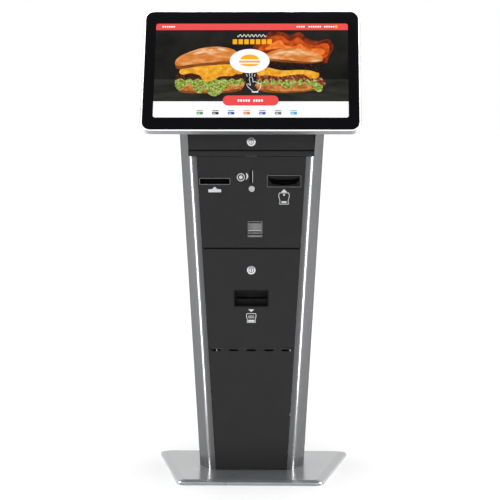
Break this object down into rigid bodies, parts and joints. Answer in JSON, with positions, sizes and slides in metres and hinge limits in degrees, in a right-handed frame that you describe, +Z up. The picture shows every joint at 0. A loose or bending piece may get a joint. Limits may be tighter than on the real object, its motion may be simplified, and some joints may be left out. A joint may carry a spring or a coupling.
{
  "type": "self service payment terminal",
  "caption": "Free-standing self-service ordering and payment terminal: tapered floor cabinet with a tilted touch display, card, coin and note slots and a receipt outlet.",
  "frame": {"origin": "centre of the bounding box's bottom face, on the floor under the base", "axes": "+Z up, the user stands on the -Y side, +X to the user's right"},
  "size_m": [0.595, 0.436, 1.2794],
  "materials": {
    "silver_paint": "fine silver metallic paint, satin",
    "bright_trim": "clear anodised, polished along the length",
    "black_paint": "fine textured black powder coat, satin",
    "ballast_steel": "plain plate, satin",
    "black_glass": "toughened glass printed black behind, gloss",
    "dark_plastic": "moulded, fine grain",
    "module_plastic": "moulded, plain",
    "display_module": "plain",
    "zinc_steel": "bright zinc plate",
    "grey_alloy": "plain sheet case, satin",
    "lock_chrome": "polished",
    "stainless": "brushed",
    "paper": "white paper",
    "circuit_board": "lacquered board",
    "rubber": "plain black"
  },
  "bodies": {
    "cabinet": {"base_cover": "silver_paint", "side_panel_right": "silver_paint", "side_panel_left": "silver_paint", "corner_trims": "bright_trim", "plinth_panel": "black_paint", "fascia_panel": "black_paint", "rear_frame": "black_paint", "base_plate": "ballast_steel", "card_bezel": "dark_plastic", "note_bezel": "dark_plastic", "power_inlet": "dark_plastic", "reject_button_bush": "dark_plastic", "paper_roll_holder": "dark_plastic", "card_reader": "module_plastic", "coin_validator": "module_plastic", "note_validator": "module_plastic", "receipt_printer": "module_plastic", "printer_lid": "module_plastic", "coin_chutes": "module_plastic", "foot_brackets": "zinc_steel", "cross_bars": "zinc_steel", "door_hinge_rod": "zinc_steel", "printer_shelf": "zinc_steel", "lower_shelf": "zinc_steel", "coin_shelf": "zinc_steel", "validator_shelf": "zinc_steel", "rear_hinge_leaves": "zinc_steel", "head_hinge_lower": "zinc_steel", "computer": "grey_alloy", "power_supply": "grey_alloy", "coin_slot_plate": "stainless", "coin_cup": "stainless", "cable_grommet": "rubber"},
    "head": {"head_rim": "bright_trim", "cover_glass": "black_glass", "display_panel": "display_module", "display_tray": "dark_plastic", "head_rear_shell": "black_paint", "display_driver_board": "circuit_board", "roof_sheet": "black_paint", "hood": "black_paint", "hood_lock_body": "lock_chrome", "head_hinge_upper": "zinc_steel"},
    "hood_lock": {"hood_lock_plug": "lock_chrome"},
    "lower_door": {"lower_door_panel": "black_paint", "door_lock_body": "lock_chrome", "receipt_tray": "dark_plastic"},
    "door_lock": {"door_lock_plug": "lock_chrome"},
    "rear_door": {"rear_door_panel": "black_paint", "rear_lock_body": "lock_chrome", "fan_frame": "dark_plastic"},
    "rear_lock": {"rear_lock_plug": "lock_chrome"},
    "fan": {"fan_rotor": "dark_plastic"},
    "reject_key": {"reject_button": "stainless"},
    "coin_flap": {"coin_return_flap": "stainless"},
    "cash_box": {"note_cash_box": "module_plastic"},
    "coin_drawer": {"coin_box": "zinc_steel"},
    "roll": {"paper_roll": "paper"},
    "mains_switch": {"power_switch": "dark_plastic"}
  },
  "joints": [
    {"name": "head_lift", "type": "hinge", "parent": "cabinet", "child": "head", "pos_m": [0, 0.187, 1.066], "axis": [-1, 0, 0], "range_deg": [0, 45]},
    {"name": "hood_lock_turn", "type": "hinge", "parent": "head", "child": "hood_lock", "pos_m": [0, -0.073, 0.9206], "axis": [0, 1, 0], "range_deg": [0, 90]},
    {"name": "lower_door_swing", "type": "hinge", "parent": "cabinet", "child": "lower_door", "pos_m": [0, -0.068, 0.3508], "axis": [1, 0, 0], "range_deg": [0, 90]},
    {"name": "door_lock_turn", "type": "hinge", "parent": "lower_door", "child": "door_lock", "pos_m": [0, -0.068, 0.5687], "axis": [0, 1, 0], "range_deg": [0, 90]},
    {"name": "rear_door_swing", "type": "hinge", "parent": "cabinet", "child": "rear_door", "pos_m": [-0.108, 0.1864, 0.56], "axis": [0, 0, 1], "range_deg": [0, 110]},
    {"name": "rear_lock_turn", "type": "hinge", "parent": "rear_door", "child": "rear_lock", "pos_m": [0.082, 0.182, 0.56], "axis": [0, 1, 0], "range_deg": [0, 90]},
    {"name": "fan_spin", "type": "hinge", "parent": "rear_door", "child": "fan", "pos_m": [0, 0.168, 0.205], "axis": [0, 1, 0], "continuous": true},
    {"name": "reject_button_press", "type": "slide", "parent": "cabinet", "child": "reject_key", "axis": [0, 1, 0], "range_m": [0, 0.003], "stiffness_N_per_m": 300},
    {"name": "coin_flap_swing", "type": "hinge", "parent": "cabinet", "child": "coin_flap", "pos_m": [0.0104, -0.0685, 0.6977], "axis": [1, 0, 0], "range_deg": [0, 60]},
    {"name": "cash_box_slide", "type": "slide", "parent": "cabinet", "child": "cash_box", "axis": [0, 1, 0], "range_m": [0, 0.03]},
    {"name": "coin_box_slide", "type": "slide", "parent": "cabinet", "child": "coin_drawer", "axis": [0, -1, 0], "range_m": [0, 0.02]},
    {"name": "paper_roll_spin", "type": "hinge", "parent": "cabinet", "child": "roll", "pos_m": [0, 0.094, 0.492], "axis": [1, 0, 0], "continuous": true},
    {"name": "power_switch_rock", "type": "hinge", "parent": "cabinet", "child": "mains_switch", "pos_m": [0.06, 0.178, 0.078], "axis": [1, 0, 0], "range_deg": [-10, 10]}
  ]
}
